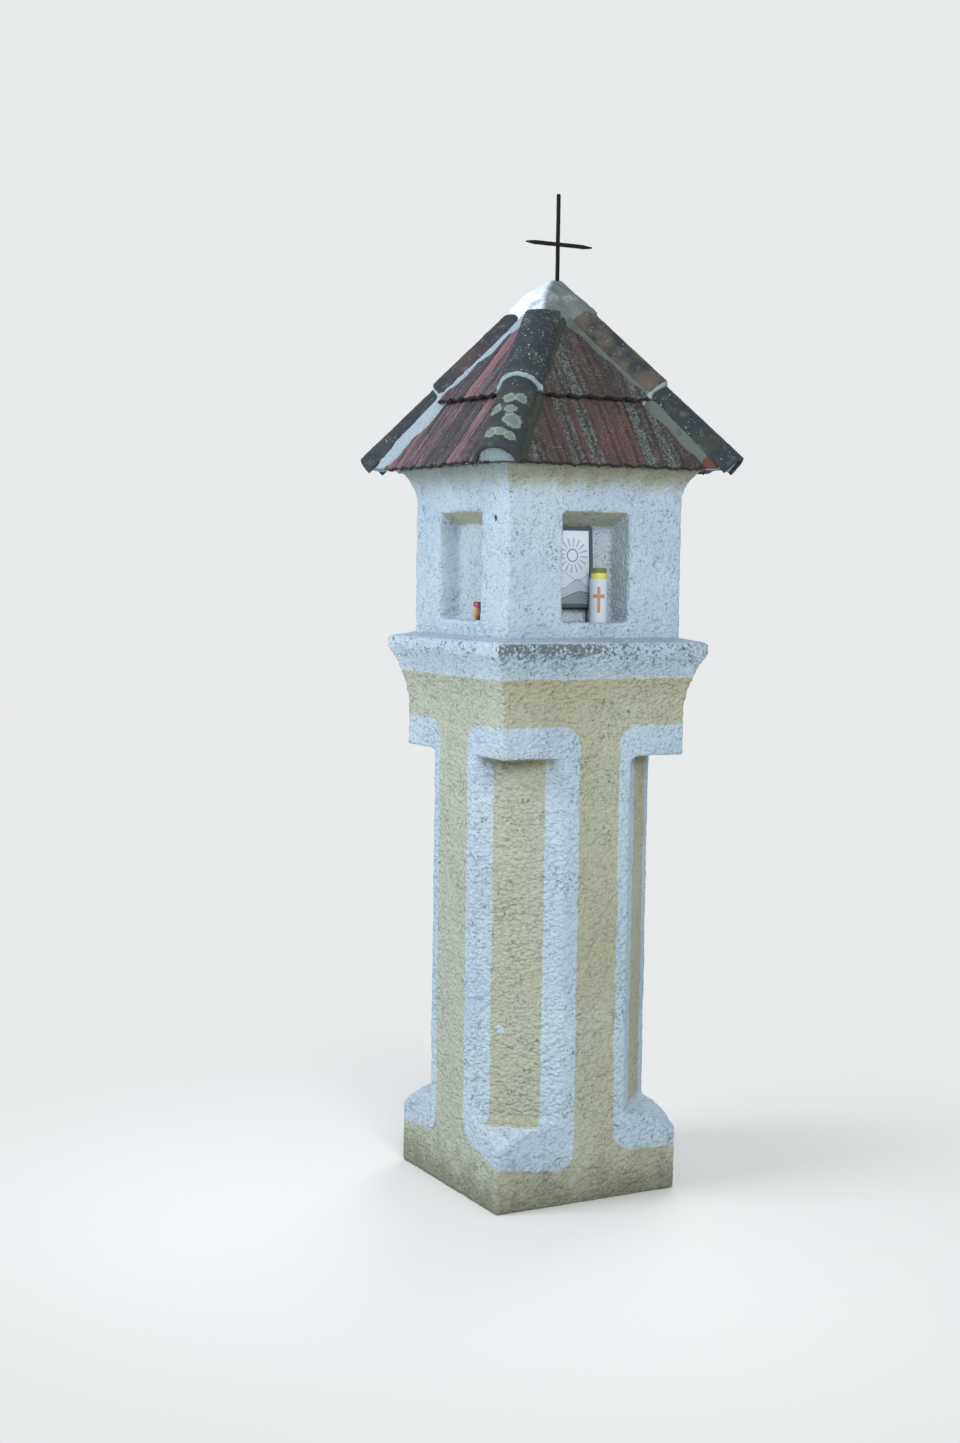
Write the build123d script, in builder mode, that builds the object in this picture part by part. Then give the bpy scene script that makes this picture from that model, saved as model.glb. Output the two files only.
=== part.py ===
"""Wayside shrine: a masonry pillar with stop-chamfered corners, a moulded
capital, a square head with a niche in each face, and a tiled pyramid roof
with half-round hip tiles, a mortar cap and an iron cross.

Millimetres, +Z up, ground at Z = 0, the pillar's axis on Z. The front, with
the picture and the candle, faces -Y.
"""

import os
from math import atan2, ceil, cos, degrees, hypot, radians, sin, sqrt

from build123d import *

os.makedirs("parts", exist_ok=True)

# Pillar
shaft_width = 720.0
chamfer_cut = 220.0  # taken off each face beside a corner
wide_cut = 245.0  # the front left corner is cut unevenly: this off the front
narrow_cut = 206.0  # and this off the left side
plinth_height = 164.0
shaft_height = 1536.0
foot_stop_corner = 48.0  # rise of the lower stop at the corner, above the plinth
foot_stop_face = 126.0  # its rise on the chamfer
foot_stop_swell = 22.0
head_stop_height = 154.0
head_stop_curve = 22.0

# Capital and cornice; the nose and the ledge are measured from the cornice's foot
capital_height = 115.0
capital_reach = 22.0  # how far it spreads past the shaft
capital_hollow = 5.0
cornice_height = 140.0
cornice_reach = 36.0  # how far its nose stands out past the capital
cornice_hollow = 4.0
nose_bottom = 82.0
nose_top = 106.0
nose_swell = 4.0
ledge_edge = 126.0
ledge_set_back = 12.0

# Head
head_set_back = 16.0  # of its faces from those of the shaft
sill_height = 50.0
pier_width = 194.0  # of the piers beside the plain niches
frame_headroom = 53.0  # over the picture in the front niche
soffit_drop = 50.0  # how far a niche's soffit falls towards its back
soffit_lip = 5.0
goods_room = 88.0  # beside the picture in the front niche
front_niche_depth = 125.0
plain_niche_depth = 72.0
lintel_height = 40.0
cove_height = 111.0
cove_reach = 56.0
cove_hollow = 13.0

# Roof
core_reach = 41.0  # of the mortar core, past the cove
roof_rise = 606.5  # from the eaves to where the core's slopes would meet
roof_top_cut = 66.5  # how far below that place the cap sits
tile_thickness = 12.0
pan_width = 52.0
pan_depth = 8.0
roll_width = 24.0
roll_height = 4.0
tile_bed = 0.3
tile_tuck = 20.0  # how far tiles run on past the cap's underside
eaves_overhang = 16.0  # measured down the slope
course_gauge = 266.0  # from the lower course's edge to the upper one's
course_lap = 72.0
upper_lift = 28.0  # how far the upper course is raised at its lower edge

# Hips
hip_seat = 0.0  # level of a hip tile's edges, square to the hip line
mouth_radius = 78.0
tail_radius = 62.0
hip_tile_thickness = 13.0
hip_lap = 60.0
hip_overhang = 25.0
plug_recess = 12.0
mortar_half = 78.0
mortar_shoulder = 74.0
mortar_rise = 40.0
mortar_ridge = 30.0
mortar_gap = 1.0

# Mortar cap and cross
cap_offset = 20.0  # from the pillar's axis, to the right
cap_half = 114.0
cap_height = 118.5
cap_flat = 16.0
bar_width = 14.0
bar_depth = 9.0
cross_offset = 28.0  # from the pillar's axis, to the right
socket_depth = 90.0
cross_height = 301.0  # above the cap
arm_drop = 176.0  # from the top of the upright to the arm
arm_length = 268.0
arm_taper = 34.0
arm_tip = 5.0

# Picture in the front niche
frame_width = 176.0
frame_height = 277.0
frame_border = 13.0
frame_depth = 14.0
frame_lean = 3.5  # degrees
frame_side_gap = 4.0  # from the niche's left side
frame_back_gap = 0.1  # from the niche's back, at the top
frame_lift = 50.0  # above the niche's floor
panel_thickness = 5.0
panel_recess = 4.0
wire_radius = 2.5
leg_inset = 16.0  # of the legs from the frame's sides
leg_length = 25.0  # from the front leg to the back one
leg_stand_off = 10.0
leg_bend = 9.0

# Candle in the front niche
candle_radius = 31.0
candle_height = 150.0
candle_offset = 43.0  # to the right of the middle
candle_stand_off = 69.0  # its axis from the niche's back
lid_radius = 28.0
lid_height = 36.0
lid_chamfer = 3.0

# Ornament in the left niche
ornament_radius = 19.0
ornament_height = 50.0
ornament_widest = 21.0  # height of its widest place
ornament_foot_radius = 7.0
ornament_top_radius = 3.5
ornament_set_back = 38.0  # from the head's face
ornament_offset = 70.0  # towards the front
blossom_radius = 10.0
blossom_petals = 3

# Levels
shaft_top = plinth_height + shaft_height
cornice_foot = shaft_top + capital_height
head_foot = cornice_foot + cornice_height
niche_floor = head_foot + sill_height
niche_top = niche_floor + frame_lift + frame_height + frame_headroom
cove_foot = niche_top + lintel_height
eaves = cove_foot + cove_height
roof_cut = eaves + roof_rise - roof_top_cut
cap_top = roof_cut + cap_height
cross_top = cap_top + cross_height

# Other sizes worked out from those above
shaft_half = shaft_width / 2
head_half = shaft_half - head_set_back
core_half = head_half - pier_width
front_niche_width = frame_width + goods_room
front_niche_back = front_niche_depth - head_half
frame_centre = frame_side_gap - goods_room / 2
leg_spread = frame_width - leg_inset * 2
roof_half = head_half + cove_reach + core_reach
roof_pitch = degrees(atan2(roof_rise, roof_half))
slope_reach = (roof_cut - eaves) / sin(radians(roof_pitch))  # up the slope to the cap
hip_length = hypot(roof_half * sqrt(2), roof_rise)
hip_fall = roof_rise / hip_length  # of each slope, square to the hip line
hip_reach = (roof_cut - eaves) / hip_fall  # up the hip to the cap
hip_tile_length = (hip_overhang + hip_reach + hip_lap + tile_tuck) / 2
wave_pitch = pan_width + roll_width

SIDES = {"front": 0, "right": 90, "back": 180, "left": 270}
CORNERS = {"front_right": 0, "back_right": 90, "back_left": 180, "front_left": 270}


def save(piece, name):
    """Labels a finished piece and writes its file."""
    piece.part.label = name
    export_step(piece.part, f"parts/{name}.step")


def turned(piece, angle):
    """A copy of the piece turned about the pillar's axis."""
    with BuildPart() as copy:
        add(piece.part, rotation=(0, 0, angle))
    return copy


def block(low, high):
    """An upright block between two opposite corners."""
    sizes = Vector(*high) - Vector(*low)
    with BuildPart() as piece:
        with Locations(Vector(*low) + sizes / 2):
            Box(*sizes)
    return piece


def square_moulding(half_outline):
    """A mass that is square on plan, with four sides that follow one half outline."""
    reach = half_outline.sketch.bounding_box().max.X + 1
    with BuildPart() as mass:
        with BuildSketch(Plane.XZ):
            add(half_outline.sketch)
            mirror(about=Plane.YZ)
        extrude(amount=reach, both=True)
        with BuildSketch(Plane.YZ):
            add(half_outline.sketch)
            mirror(about=Plane.YZ)
        extrude(amount=reach, both=True, mode=Mode.INTERSECT)
    return mass


def plinth():
    """The square foot, from the ground to the painted band."""
    with BuildPart() as mass:
        with BuildSketch():
            Rectangle(shaft_width, shaft_width)
        extrude(amount=plinth_height)
    return mass


def corner_cut(x_side, y_side, end_cut, side_cut):
    """What is cut from one corner of the shaft, between its foot stop and its head stop.

    end_cut is taken off the front or back face, and side_cut off the side face.
    """
    chamfer_width = hypot(end_cut, side_cut)
    depth = end_cut * side_cut / chamfer_width
    corner = (x_side * shaft_half, y_side * shaft_half, 0)
    outwards = Vector(x_side * side_cut, y_side * end_cut, 0).normalized()
    across = Vector(outwards.Y, -outwards.X, 0)
    low = plinth_height + foot_stop_corner
    low_face = plinth_height + foot_stop_face
    high = shaft_top - head_stop_height
    with BuildPart() as cut:
        with BuildSketch(Plane(corner, x_dir=outwards, z_dir=across)):
            with BuildLine():
                SagittaArc((0, low), (-depth, low_face), -foot_stop_swell)
                Line((-depth, low_face), (-depth, high - head_stop_curve))
                RadiusArc(
                    (-depth, high - head_stop_curve),
                    (head_stop_curve - depth, high),
                    head_stop_curve,
                )
                Polyline((head_stop_curve - depth, high), (depth, high), (depth, low), (0, low))
            make_face()
        extrude(amount=chamfer_width, both=True)
    return cut


def shaft():
    """The square shaft, with its corners chamfered between two stops."""
    with BuildPart() as mass:
        with BuildSketch(Plane.XY.offset(plinth_height)):
            Rectangle(shaft_width, shaft_width)
        extrude(amount=shaft_top - plinth_height)
        for x_side, y_side in ((1, -1), (1, 1), (-1, 1)):
            add(corner_cut(x_side, y_side, chamfer_cut, chamfer_cut).part, mode=Mode.SUBTRACT)
        add(corner_cut(-1, -1, wide_cut, narrow_cut).part, mode=Mode.SUBTRACT)
    return mass


def capital():
    """The yellow frieze that spreads from the shaft to the cornice."""
    top_half = shaft_half + capital_reach
    with BuildSketch() as half_outline:
        with BuildLine():
            Polyline((0, cornice_foot), (0, shaft_top), (shaft_half, shaft_top))
            SagittaArc((shaft_half, shaft_top), (top_half, cornice_foot), capital_hollow)
            Line((top_half, cornice_foot), (0, cornice_foot))
        make_face()
    return square_moulding(half_outline)


def cornice():
    """The white moulding with a rounded nose and a sloping ledge."""
    foot_half = shaft_half + capital_reach
    nose = foot_half + cornice_reach
    low = cornice_foot + nose_bottom
    high = cornice_foot + nose_top
    ledge = (nose - ledge_set_back, cornice_foot + ledge_edge)
    with BuildSketch() as half_outline:
        with BuildLine():
            Polyline((0, head_foot), (0, cornice_foot), (foot_half, cornice_foot))
            SagittaArc((foot_half, cornice_foot), (nose, low), cornice_hollow)
            Line((nose, low), (nose, high))
            SagittaArc((nose, high), ledge, -nose_swell)
            Polyline(ledge, (head_half, head_foot), (0, head_foot))
        make_face()
    return square_moulding(half_outline)


def head_sill():
    """The course under the niches."""
    return block((-head_half, -head_half, head_foot), (head_half, head_half, niche_floor))


def head_top():
    """The course over the niches, with the cove that carries the eaves."""
    top_half = head_half + cove_reach
    with BuildSketch() as half_outline:
        with BuildLine():
            Polyline((0, eaves), (0, niche_top), (head_half, niche_top), (head_half, cove_foot))
            SagittaArc((head_half, cove_foot), (top_half, eaves), cove_hollow)
            Line((top_half, eaves), (0, eaves))
        make_face()
    return square_moulding(half_outline)


def corner_pier(x_side, y_side):
    """The pier at one corner of the head, between two niches."""
    niche_half = front_niche_width / 2 if y_side < 0 else core_half
    inner = (x_side * niche_half, y_side * core_half)
    outer = (x_side * head_half, y_side * head_half)
    low = [min(a, b) for a, b in zip(inner, outer)]
    high = [max(a, b) for a, b in zip(inner, outer)]
    return block((*low, niche_floor), (*high, niche_top))


def head_core():
    """The middle of the head, behind the niches."""
    return block((-core_half, -core_half, niche_floor), (core_half, core_half, niche_top))


def niche_back(width, depth):
    """The back of a niche and its sloping soffit, for the face towards -Y."""
    back = -head_half + depth
    with BuildPart() as piece:
        with BuildSketch(Plane.YZ):
            with BuildLine():
                Polyline(
                    (-core_half, niche_floor),
                    (back, niche_floor),
                    (back, niche_top - soffit_drop),
                    (-head_half, niche_top - soffit_lip),
                    (-head_half, niche_top),
                    (-core_half, niche_top),
                    close=True,
                )
            make_face()
        extrude(amount=width / 2, both=True)
    return piece


def roof_core():
    """The mortar and brick pyramid that the tiles are bedded on."""
    cut_half = roof_half * roof_top_cut / roof_rise
    with BuildSketch() as half_outline:
        with BuildLine():
            Polyline(
                (0, eaves),
                (roof_half, eaves),
                (cut_half, roof_cut),
                (0, roof_cut),
                close=True,
            )
        make_face()
    return square_moulding(half_outline)


def tile_course(start, length, lift):
    """One course of pan tiles on the front slope, mitred at both hips.

    start is measured up the slope from the eaves, and lift raises the lower edge.
    """
    slope = Vector(0, cos(radians(roof_pitch)), sin(radians(roof_pitch)))
    normal = Vector(0, -slope.Z, slope.Y)
    edge = Vector(0, -roof_half, eaves)
    origin = edge + slope * start + normal * (lift + tile_bed)
    tilt = lift / length
    direction = slope * sqrt(1 - tilt**2) - normal * tilt
    low_half = roof_half - start * cos(radians(roof_pitch))
    waves = ceil(low_half / wave_pitch)
    mitre = mortar_half + mortar_gap

    with BuildPart() as course:
        with BuildSketch(Plane(origin, x_dir=(-1, 0, 0), z_dir=direction)):
            with BuildLine():
                for level in (pan_depth, pan_depth + tile_thickness):
                    for wave in range(-waves, waves):
                        left = wave * wave_pitch
                        middle = left + pan_width
                        right = left + wave_pitch
                        SagittaArc((left, level), (middle, level), -pan_depth)
                        SagittaArc((middle, level), (right, level), roll_height)
                end = waves * wave_pitch
                for side in (-end, end):
                    Line((side, pan_depth), (side, pan_depth + tile_thickness))
            make_face()
        extrude(amount=length)
        for side in (-1, 1):
            outwards = Vector(side, 1, 0).normalized()
            split(bisect_by=Plane(outwards * -mitre, z_dir=outwards), keep=Keep.BOTTOM)
        split(bisect_by=Plane.XY.offset(roof_cut), keep=Keep.BOTTOM)
    return course


def hip_vectors():
    """The front right hip: its foot, its direction, and the way out square to it."""
    foot = Vector(roof_half, -roof_half, eaves)
    along = Vector(-roof_half, roof_half, roof_rise).normalized()
    across = Vector(-1, -1, 0).normalized()
    return foot, along, along.cross(across)


def hip_radius(tile_start, distance):
    """Outer radius of a tapering hip tile, at a distance up the hip."""
    share = (distance - tile_start) / hip_tile_length
    return mouth_radius + (tail_radius - mouth_radius) * share


def trim_to_corner():
    """Keeps what lies below the cap, in the front right quarter of the roof."""
    split(bisect_by=Plane.XY.offset(roof_cut), keep=Keep.BOTTOM)
    split(bisect_by=Plane.YZ, keep=Keep.TOP)
    split(bisect_by=Plane.XZ, keep=Keep.TOP)


def half_cone(ring):
    """A half-round solid over the front right hip, from (distance, radius) corners."""
    foot, along, out = hip_vectors()
    centre = foot + out * hip_seat
    with BuildPart() as piece:
        with BuildSketch(Plane(centre, x_dir=along, z_dir=out)):
            with BuildLine():
                Polyline(*ring, close=True)
            make_face()
        revolve(axis=Axis(centre, along), revolution_arc=180)
        trim_to_corner()
    return piece


def hip_tile(start):
    """A half-round tile on the front right hip, wide at its lower end."""
    end = start + hip_tile_length
    ring = [
        (start, mouth_radius - hip_tile_thickness),
        (end, tail_radius - hip_tile_thickness),
        (end, tail_radius),
        (start, mouth_radius),
    ]
    return half_cone(ring)


def hip_filling(tile_start, low, high):
    """The mortar inside one hip tile."""
    ring = [
        (low, 0),
        (high, 0),
        (high, hip_radius(tile_start, high) - hip_tile_thickness),
        (low, hip_radius(tile_start, low) - hip_tile_thickness),
    ]
    return half_cone(ring)


def hip_mortar(core, lower_start, upper_start):
    """The bed along the front right hip, which also plugs the lower tile's mouth."""
    foot, along, out = hip_vectors()
    start = lower_start + plug_recess
    joint = lower_start + hip_tile_length
    side = -hip_fall * mortar_half
    inner = tail_radius - hip_tile_thickness * 2
    right_half = [
        (mortar_half, side),
        (mortar_half, side + mortar_rise),
        (mortar_shoulder, hip_seat),
        (inner, hip_seat),
    ]
    left_half = [(-x, y) for x, y in reversed(right_half)]
    with BuildPart() as bed:
        section = Plane(foot + along * start, x_dir=along.cross(out) * -1, z_dir=along)
        with BuildSketch(section):
            with BuildLine():
                Polyline((0, 0), *right_half, (0, mortar_ridge), *left_half, close=True)
            make_face()
        extrude(amount=hip_length)
        split(bisect_by=Plane.XY.offset(eaves), keep=Keep.TOP)
        trim_to_corner()
        add(hip_filling(lower_start, start, joint).part)
        add(hip_filling(upper_start, joint, upper_start + hip_tile_length).part)
        add(core.part, mode=Mode.SUBTRACT)
    return bed


def socket_plane():
    """The level floor of the cap's socket, on the cross's axis."""
    return Plane((cross_offset, 0, cap_top - socket_depth))


def apex_cap():
    """The mortar cap that closes the roof round the foot of the cross."""
    with BuildPart() as cap:
        with BuildSketch(Plane((cap_offset, 0, roof_cut))):
            Rectangle(cap_half * 2, cap_half * 2)
        with BuildSketch(Plane((cap_offset, 0, cap_top))):
            Rectangle(cap_flat * 2, cap_flat * 2)
        loft(ruled=True)
        with BuildSketch(socket_plane()):
            Rectangle(bar_width, bar_depth)
        extrude(amount=cap_height, mode=Mode.SUBTRACT)
    return cap


def cross_upright():
    """The flat iron bar let into the cap."""
    with BuildPart() as bar:
        with BuildSketch(socket_plane()):
            Rectangle(bar_width, bar_depth)
        extrude(amount=socket_depth + cross_height)
    return bar


def cross_arm():
    """The arm on the front of the upright, with hammered-out ends."""
    half = arm_length / 2
    right_half = [
        (half - arm_taper, -bar_width / 2),
        (half, -arm_tip / 2),
        (half, arm_tip / 2),
        (half - arm_taper, bar_width / 2),
    ]
    left_half = [(-x, -z) for x, z in right_half]
    centre = (cross_offset, -bar_depth / 2, cross_top - arm_drop)
    face = Plane(centre, x_dir=(1, 0, 0), z_dir=(0, -1, 0))
    with BuildPart() as arm:
        with BuildSketch(face):
            with BuildLine():
                Polyline(*right_half, *left_half, close=True)
            make_face()
        extrude(amount=bar_depth)
    return arm


def frame_plane(depth):
    """The leaning plane of the picture, a depth behind the frame's front."""
    lean = radians(frame_lean)
    facing = Vector(0, -cos(lean), sin(lean))
    stand_off = frame_height * sin(lean) + frame_depth * cos(lean) + frame_back_gap
    foot = Vector(frame_centre, front_niche_back - stand_off, niche_floor + frame_lift)
    return Plane(foot - facing * depth, x_dir=(1, 0, 0), z_dir=facing)


def picture_frame():
    """The frame round the picture."""
    centre = (0, frame_height / 2)
    with BuildPart() as frame:
        with BuildSketch(frame_plane(frame_depth)):
            with Locations(centre):
                Rectangle(frame_width, frame_height)
                Rectangle(
                    frame_width - 2 * frame_border,
                    frame_height - 2 * frame_border,
                    mode=Mode.SUBTRACT,
                )
        extrude(amount=frame_depth)
    return frame


def picture_panel():
    """The picture behind its glass, let into the frame."""
    with BuildPart() as panel:
        with BuildSketch(frame_plane(panel_recess + panel_thickness)):
            with Locations((0, frame_height / 2)):
                Rectangle(frame_width - 2 * frame_border, frame_height - 2 * frame_border)
        extrude(amount=panel_thickness)
    return panel


def picture_stand():
    """Two bent wire legs and a tie, which carry the frame."""
    floor = niche_floor + wire_radius
    back = front_niche_back - leg_stand_off
    front = back - leg_length
    rest = niche_floor + frame_lift - frame_depth * sin(radians(frame_lean)) - wire_radius
    with BuildPart() as stand:
        for side in (-1, 1):
            x = frame_centre + side * leg_spread / 2
            with BuildLine() as leg:
                FilletPolyline(
                    (x, front, floor),
                    (x, front, rest),
                    (x, back, rest),
                    (x, back, floor),
                    radius=leg_bend,
                )
            with BuildSketch(Plane((x, front, floor))):
                Circle(wire_radius)
            sweep(path=leg.line)
        middle = (front + back) / 2
        with BuildSketch(Plane((frame_centre, middle, rest), z_dir=(1, 0, 0))):
            Circle(wire_radius)
        extrude(amount=leg_spread / 2, both=True)
    return stand


def candle_plane(height):
    """A level plane on the candle's axis, at a height above the niche's floor."""
    depth = front_niche_back - candle_stand_off
    return Plane((candle_offset, depth, niche_floor + height))


def candle_jar():
    """The tall cylinder of the grave light."""
    with BuildPart() as jar:
        with BuildSketch(candle_plane(0)):
            Circle(candle_radius)
        extrude(amount=candle_height)
    return jar


def candle_lid():
    """The yellow metal lid of the grave light."""
    with BuildPart() as lid:
        with BuildSketch(candle_plane(candle_height)):
            Circle(lid_radius)
        extrude(amount=lid_height)
        chamfer(lid.faces().sort_by(Axis.Z)[-1].edges(), lid_chamfer)
    return lid


def ornament():
    """A small painted egg that stands on a foot and carries a blossom."""
    foot = Vector(ornament_set_back - head_half, -ornament_offset, niche_floor)
    with BuildPart() as piece:
        with BuildSketch(Plane(foot, x_dir=(1, 0, 0), z_dir=(0, -1, 0))):
            with BuildLine():
                Polyline((0, ornament_height), (0, 0), (ornament_foot_radius, 0))
                Spline(
                    (ornament_foot_radius, 0),
                    (ornament_radius, ornament_widest),
                    (ornament_top_radius, ornament_height),
                )
                Line((ornament_top_radius, ornament_height), (0, ornament_height))
            make_face()
        revolve(axis=Axis(foot, (0, 0, 1)))
        with Locations(foot + Vector(0, 0, ornament_height + blossom_radius / 2)):
            with PolarLocations(blossom_radius, blossom_petals):
                Sphere(blossom_radius)
    return piece


def build_masonry():
    save(plinth(), "plinth")
    save(shaft(), "shaft")
    save(capital(), "capital")
    save(cornice(), "cornice")
    save(head_sill(), "head_sill")
    save(head_core(), "head_core")
    save(head_top(), "head_top")
    for y_name, y_side in (("front", -1), ("back", 1)):
        for x_name, x_side in (("left", -1), ("right", 1)):
            save(corner_pier(x_side, y_side), f"corner_pier_{y_name}_{x_name}")
    save(niche_back(front_niche_width, front_niche_depth), "niche_back_front")
    plain_back = niche_back(core_half * 2, plain_niche_depth)
    for name, angle in list(SIDES.items())[1:]:
        save(turned(plain_back, angle), f"niche_back_{name}")


def build_roof():
    core = roof_core()
    save(core, "roof_core")
    upper_start = course_gauge - eaves_overhang
    lower = tile_course(-eaves_overhang, course_gauge + course_lap, 0)
    upper = tile_course(upper_start, slope_reach - upper_start + tile_tuck, upper_lift)
    for name, angle in SIDES.items():
        save(turned(lower, angle), f"tiles_{name}_lower")
        save(turned(upper, angle), f"tiles_{name}_upper")
    hip_start = -hip_overhang
    hip_joint = hip_start + hip_tile_length - hip_lap
    lower_hip = hip_tile(hip_start)
    upper_hip = hip_tile(hip_joint)
    mortar = hip_mortar(core, hip_start, hip_joint)
    for name, angle in CORNERS.items():
        save(turned(lower_hip, angle), f"hip_tile_{name}_lower")
        save(turned(upper_hip, angle), f"hip_tile_{name}_upper")
        save(turned(mortar, angle), f"hip_mortar_{name}")
    save(apex_cap(), "apex_cap")
    save(cross_upright(), "cross_upright")
    save(cross_arm(), "cross_arm")


def build_niche_goods():
    save(picture_frame(), "picture_frame")
    save(picture_panel(), "picture_panel")
    save(picture_stand(), "picture_stand")
    save(candle_jar(), "candle_jar")
    save(candle_lid(), "candle_lid")
    save(ornament(), "ornament")


build_masonry()
build_roof()
build_niche_goods()
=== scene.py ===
"""Looks of the wayside shrine: rough-cast render with painted bands, ribbed
roof tiles, half-round hip tiles bedded in mortar, an iron cross, and the
goods in the niches. Metres, +Z up, the front faces -Y.
"""

from math import ceil, cos, hypot, pi, radians, sin, sqrt

import bmesh
import bpy
import numpy as np
from mathutils import Matrix, Vector


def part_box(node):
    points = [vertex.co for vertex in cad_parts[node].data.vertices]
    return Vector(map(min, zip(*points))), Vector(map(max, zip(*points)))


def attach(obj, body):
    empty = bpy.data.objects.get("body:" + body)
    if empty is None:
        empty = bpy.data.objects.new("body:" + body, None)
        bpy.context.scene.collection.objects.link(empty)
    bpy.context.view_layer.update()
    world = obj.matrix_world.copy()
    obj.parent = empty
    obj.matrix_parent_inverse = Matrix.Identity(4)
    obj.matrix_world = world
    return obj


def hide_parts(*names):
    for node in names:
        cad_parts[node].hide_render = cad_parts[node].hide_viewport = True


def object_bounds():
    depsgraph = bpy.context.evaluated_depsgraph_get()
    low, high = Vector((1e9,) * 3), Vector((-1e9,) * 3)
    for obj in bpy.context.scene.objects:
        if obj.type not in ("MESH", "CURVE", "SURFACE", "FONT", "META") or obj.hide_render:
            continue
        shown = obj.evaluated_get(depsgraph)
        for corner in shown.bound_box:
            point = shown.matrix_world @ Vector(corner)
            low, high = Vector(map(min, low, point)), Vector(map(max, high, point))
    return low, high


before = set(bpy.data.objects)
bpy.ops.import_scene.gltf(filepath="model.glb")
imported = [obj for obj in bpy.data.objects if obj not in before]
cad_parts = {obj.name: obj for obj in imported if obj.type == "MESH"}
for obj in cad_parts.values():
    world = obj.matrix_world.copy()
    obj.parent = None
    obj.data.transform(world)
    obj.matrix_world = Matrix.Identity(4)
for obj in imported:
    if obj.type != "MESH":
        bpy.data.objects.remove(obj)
cad_low, cad_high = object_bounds()

SIDES = {"front": 0, "right": 90, "back": 180, "left": 270}
CORNERS = {"front_right": 0, "back_right": 90, "back_left": 180, "front_left": 270}

# Sizes taken from the CAD parts in model.glb
shaft_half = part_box("plinth")[1].x
plinth_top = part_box("plinth")[1].z
shaft_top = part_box("shaft")[1].z
cornice_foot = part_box("cornice")[0].z
head_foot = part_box("cornice")[1].z
head_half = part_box("head_sill")[1].x
niche_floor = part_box("head_sill")[1].z
niche_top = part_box("head_top")[0].z
front_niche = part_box("niche_back_front")
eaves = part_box("roof_core")[0].z
roof_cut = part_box("roof_core")[1].z
roof_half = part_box("roof_core")[1].x
core_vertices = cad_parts["roof_core"].data.vertices
cut_half = max(v.co.x for v in core_vertices if v.co.z > roof_cut - 0.001)
roof_apex = eaves + (roof_cut - eaves) * roof_half / (roof_half - cut_half)

slope_length = hypot(roof_half - cut_half, roof_cut - eaves)
slope_run = (roof_half - cut_half) / slope_length
slope_rise = (roof_cut - eaves) / slope_length
hip_rise = (roof_apex - eaves) / hypot(roof_half * sqrt(2), roof_apex - eaves)
hip_top = (roof_cut - eaves) / hip_rise  # how far up a hip the roof is cut off

# Grain of the render, and how finely each skin is covered with faces
pillar_voxel = 0.0074
head_voxel = 0.0068
hip_tile_voxel = 0.0048
bed_voxel = 0.006
cap_voxel = 0.004
iron_voxel = 0.0022
pillar_rounding = 2
head_rounding = 5
bed_rounding = 2
cap_rounding = 6
cast_grain = 0.015
cast_depth = 0.0024
head_cast_depth = 0.0014
pillar_knobs = 0.0015
head_knobs = 0.0055
wave_size = 0.17
wave_depth = 0.0035
head_sink = 0.045  # how deep the head's render reaches into the cornice

# Paint on the pillar, as distances from a corner along a face and heights above the ground
band_reach = 0.262
wide_band = 0.300  # on the front, by the left corner, which is cut unevenly
narrow_band = 0.250  # and on the left side, by the same corner
panel_reach = 0.118  # the yellow panel's half on a chamfer, measured in the same way
wide_panel = 0.145
narrow_panel = 0.106
band_foot = 0.153
band_head = 1.653
band_round = 0.070
foot_slant = -0.06  # how fast the band's foot falls away from a corner
front_slant = 0.13  # on the front, by the left corner
left_slant = -0.25  # and on the left side
panel_foot = 0.282
high_panel_foot = 0.315  # at the other corners
panel_head = 1.547
paint_edge = 0.002
chip_place = (-0.344, -0.252, 2.352)
splash_place = (-0.280, -0.222, 0.605)

# Roof
rib_pitch = 0.076
pan_share = 0.68  # of the pitch; the roll takes the rest
pan_depth = 0.0035
roll_height = 0.0030
tile_ribs = 3
tile_thickness = 0.012
tile_gap = 0.0015
tile_lift = 0.008  # of a tile's underside above the mortar core
rib_faces = 13  # across one rib
row_length = 0.012
eaves_overhang = 0.016
course_gauge = 0.266
course_lap = 0.072
upper_lift = 0.028
upper_tuck = 0.02  # how far the upper course runs past the roof's cut, to be trimmed there
course_shift = 0.09  # of the upper course's joints, along the eaves
upper_start = course_gauge - eaves_overhang
mortar_half = 0.078
tile_cut = 0.012  # how far the tiles reach in under the mortar
bed_radius = 0.0745
bed_taper = 0.010
bed_start = 0.034  # of the mortar strips, up the hip
bed_stations = 48
bed_inner = 0.050  # from here, under the hip tile, out to the mortar's edge
bed_depth = 0.030
tile_stand = 0.014  # of the roof tiles off the core, beside their thickness
ring_steps = 24

# Stage
sky_strength = 0.48
floor_tone = 0.86  # of the backdrop's
floor_fade = (0.7, 2.6)  # how far out the floor turns into the backdrop


def tint(red, green, blue):
    """A colour given as it looks on a screen, from 0 to 255, made linear."""
    screen = [c / 255 for c in (red, green, blue)]
    return tuple(c / 12.92 if c < 0.04045 else ((c + 0.055) / 1.055) ** 2.4 for c in screen)


# Colours
backdrop = tint(232, 234, 235)
lime_white = tint(186, 204, 216)
lime_cool = tint(172, 193, 211)
ochre_wash = tint(170, 172, 150)
ochre_pale = tint(176, 180, 162)
algae_dark = tint(62, 74, 68)
crease_shade_tone = tint(120, 130, 132)
eaves_cream = tint(160, 158, 128)
groove_shade_and_grime = tint(46, 44, 44)
lichen_pale = tint(158, 172, 168)
lichen_gold = tint(134, 128, 76)
mortar_white = tint(216, 232, 248)
iron_black = tint(28, 29, 31)


# Node trees


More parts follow.
